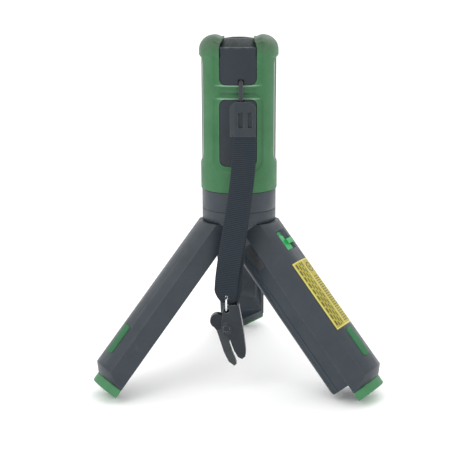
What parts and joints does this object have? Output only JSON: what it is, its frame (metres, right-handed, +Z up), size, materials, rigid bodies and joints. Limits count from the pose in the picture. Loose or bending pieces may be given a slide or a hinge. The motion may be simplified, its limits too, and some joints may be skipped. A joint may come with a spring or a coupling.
{
  "type": "laser level on tripod",
  "caption": "Self-levelling line laser in a rubber-caged cylinder on three fold-out hollow legs, one carrying the batteries, with a webbing lanyard and spring clip.",
  "frame": {"origin": "where the head's upright axis meets the surface that the feet stand on", "axes": "+Z up along the head's axis, -Y towards the lanyard side, +X towards the battery leg's side"},
  "size_m": [0.2002, 0.1792, 0.2436],
  "materials": {
    "green_rubber": "soft satin rubber with light scuffs",
    "black_plastic": "fine moulded texture",
    "smoked_panel": "satin smoked panel",
    "lens_glass": "clear",
    "steel": "bright",
    "alloy": "machined",
    "copper": "plain copper",
    "brass": "turned",
    "board_green": "solder mask",
    "foot_green": "moulded rubber",
    "pad_green": "moulded rubber",
    "cell_can": "printed sleeve",
    "slider_green": "moulded",
    "label_yellow": "laminated label",
    "cord_black": "braided",
    "cap_plastic": "satin moulded",
    "webbing": "ribbed weave",
    "chrome_wire": "bright plated",
    "clip_metal": "black nickel"
  },
  "bodies": {
    "head": {"rubber_cage": "green_rubber", "front_housing": "black_plastic", "rear_housing": "black_plastic", "front_upper_panel": "smoked_panel", "front_lower_panel": "smoked_panel", "rear_upper_panel": "smoked_panel", "rear_lower_panel": "smoked_panel", "left_window": "smoked_panel", "right_window": "smoked_panel", "top_cap": "black_plastic", "top_bezel": "black_plastic", "top_lens": "lens_glass", "collar": "black_plastic", "leg_hub": "black_plastic", "hinge_pins": "steel", "hub_screws": "steel", "chassis": "alloy", "damper_plate": "copper", "gimbal_bracket": "alloy", "gimbal_outer_pins": "steel", "circuit_board": "board_green", "lanyard_cord": "cord_black"},
    "gimbal": {"gimbal_ring": "alloy", "gimbal_inner_pins": "steel"},
    "pendulum": {"pendulum_frame": "brass", "damper_magnet": "steel", "up_laser": "brass", "front_laser": "brass", "left_laser": "brass", "right_laser": "brass"},
    "left_leg_body": {"left_leg": "black_plastic", "left_foot": "foot_green", "left_pad": "pad_green"},
    "right_leg_body": {"right_leg": "black_plastic", "right_foot": "foot_green", "right_pad": "pad_green", "battery_box": "black_plastic", "batteries": "cell_can", "contact_springs": "steel", "contact_plates": "steel", "switch_module": "black_plastic", "leg_label": "label_yellow"},
    "rear_leg_body": {"rear_leg": "black_plastic", "rear_foot": "foot_green", "rear_pad": "pad_green"},
    "cover": {"battery_cover": "black_plastic"},
    "slider": {"power_slider": "slider_green"},
    "lanyard": {"strap_cap": "cap_plastic", "webbing_front": "webbing", "webbing_back": "webbing"},
    "clip": {"clip_ring": "chrome_wire", "clip_plate": "clip_metal", "clip_pin": "clip_metal", "clip_spring": "chrome_wire"},
    "clip_lever_body": {"clip_lever": "clip_metal"}
  },
  "joints": [
    {"name": "left_leg_fold", "type": "hinge", "parent": "head", "child": "left_leg_body", "pos_m": [-0.01819, -0.0105, 0.1175], "axis": [-0.5, 0.866, 0], "range_deg": [-41, 0]},
    {"name": "right_leg_fold", "type": "hinge", "parent": "head", "child": "right_leg_body", "pos_m": [0.01819, -0.0105, 0.1175], "axis": [-0.5, -0.866, 0], "range_deg": [-41, 0]},
    {"name": "rear_leg_fold", "type": "hinge", "parent": "head", "child": "rear_leg_body", "pos_m": [0, 0.021, 0.1175], "axis": [1, 0, 0], "range_deg": [-41, 0]},
    {"name": "power_slide", "type": "slide", "parent": "right_leg_body", "child": "slider", "axis": [-0.5682, 0.328, 0.7547], "range_m": [0, 0.004]},
    {"name": "cover_slide", "type": "slide", "parent": "right_leg_body", "child": "cover", "axis": [0.5682, -0.328, -0.7547], "range_m": [0, 0.005]},
    {"name": "lanyard_swing", "type": "hinge", "parent": "head", "child": "lanyard", "pos_m": [0.002, -0.0305, 0.202], "axis": [-1, 0, 0], "range_deg": [0, 45]},
    {"name": "clip_swing", "type": "hinge", "parent": "lanyard", "child": "clip", "pos_m": [-0.00778, -0.0375, 0.06753], "axis": [-1, 0, 0], "range_deg": [0, 25]},
    {"name": "clip_open", "type": "hinge", "parent": "clip", "child": "clip_lever_body", "pos_m": [-0.0078, -0.0375, 0.0465], "axis": [0, 1, 0], "range_deg": [0, 14], "stiffness_Nm_per_rad": 0.06, "springref_deg": -11.46},
    {"name": "gimbal_tilt", "type": "hinge", "parent": "head", "child": "gimbal", "pos_m": [0, 0, 0.2217], "axis": [1, 0, 0], "range_deg": [-4, 4]},
    {"name": "pendulum_tilt", "type": "hinge", "parent": "gimbal", "child": "pendulum", "pos_m": [0, 0, 0.2217], "axis": [0, 1, 0], "range_deg": [-4, 4]}
  ]
}
